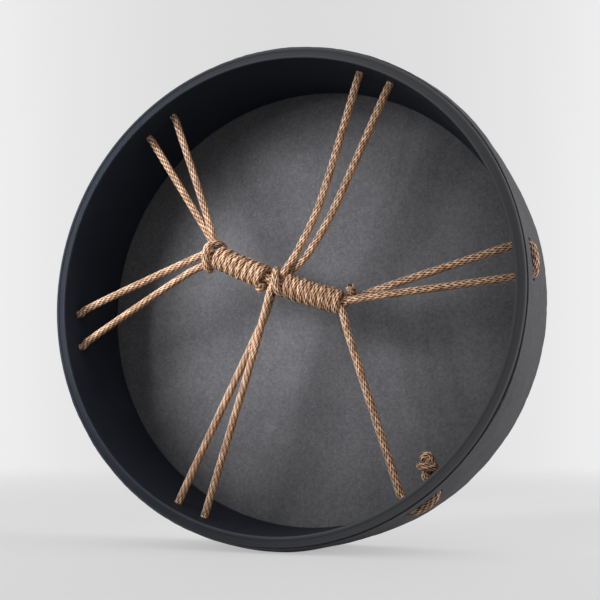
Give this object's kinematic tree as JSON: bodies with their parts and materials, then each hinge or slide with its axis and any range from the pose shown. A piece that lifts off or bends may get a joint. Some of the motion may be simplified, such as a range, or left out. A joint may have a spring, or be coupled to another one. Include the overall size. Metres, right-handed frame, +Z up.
{
  "type": "hand drum",
  "caption": "Shallow round hand drum with a felt-covered head and skirt over a black shell, held by a tan cord laced across its open back into a wound grip.",
  "frame": {"origin": "on the floor under the middle of the drum, which stands on its edge", "axes": "+Y along the drum's axis from the open back to the playing face, +Z up"},
  "size_m": [0.4148, 0.0924, 0.4108],
  "materials": {
    "shell_paint": "satin black over fibre-board",
    "felt": "charcoal felt-faced drumhead",
    "cord": "braided tan cord with dark flecks"
  },
  "bodies": {
    "drum": {"shell": "shell_paint", "drum_head": "felt", "head_skirt": "felt", "bight_right": "cord", "bight_upper_right": "cord", "bight_upper_left": "cord", "bight_left": "cord", "bight_lower_left": "cord", "bight_lower_right": "cord", "strand_right_upper": "cord", "strand_right_lower": "cord", "strand_upper_right_left": "cord", "strand_upper_right_right": "cord", "strand_upper_left_left": "cord", "strand_upper_left_right": "cord", "strand_left_upper": "cord", "strand_left_lower": "cord", "strand_lower_left_left": "cord", "strand_lower_left_right": "cord", "strand_lower_right": "cord", "stopper_knot": "cord"},
    "grip": {"grip_core": "cord", "winding_left": "cord", "winding_right": "cord", "hitch_left": "cord", "hitch_right": "cord"}
  },
  "joints": [
    {"name": "grip_give", "type": "slide", "parent": "drum", "child": "grip", "axis": [0, 1, 0], "range_m": [-0.01, 0.01], "stiffness_N_per_m": 1500, "deforming": ["strand_right_upper", "strand_right_lower", "strand_upper_right_left", "strand_upper_right_right", "strand_upper_left_left", "strand_upper_left_right", "strand_left_upper", "strand_left_lower", "strand_lower_left_left", "strand_lower_left_right", "strand_lower_right"]}
  ]
}
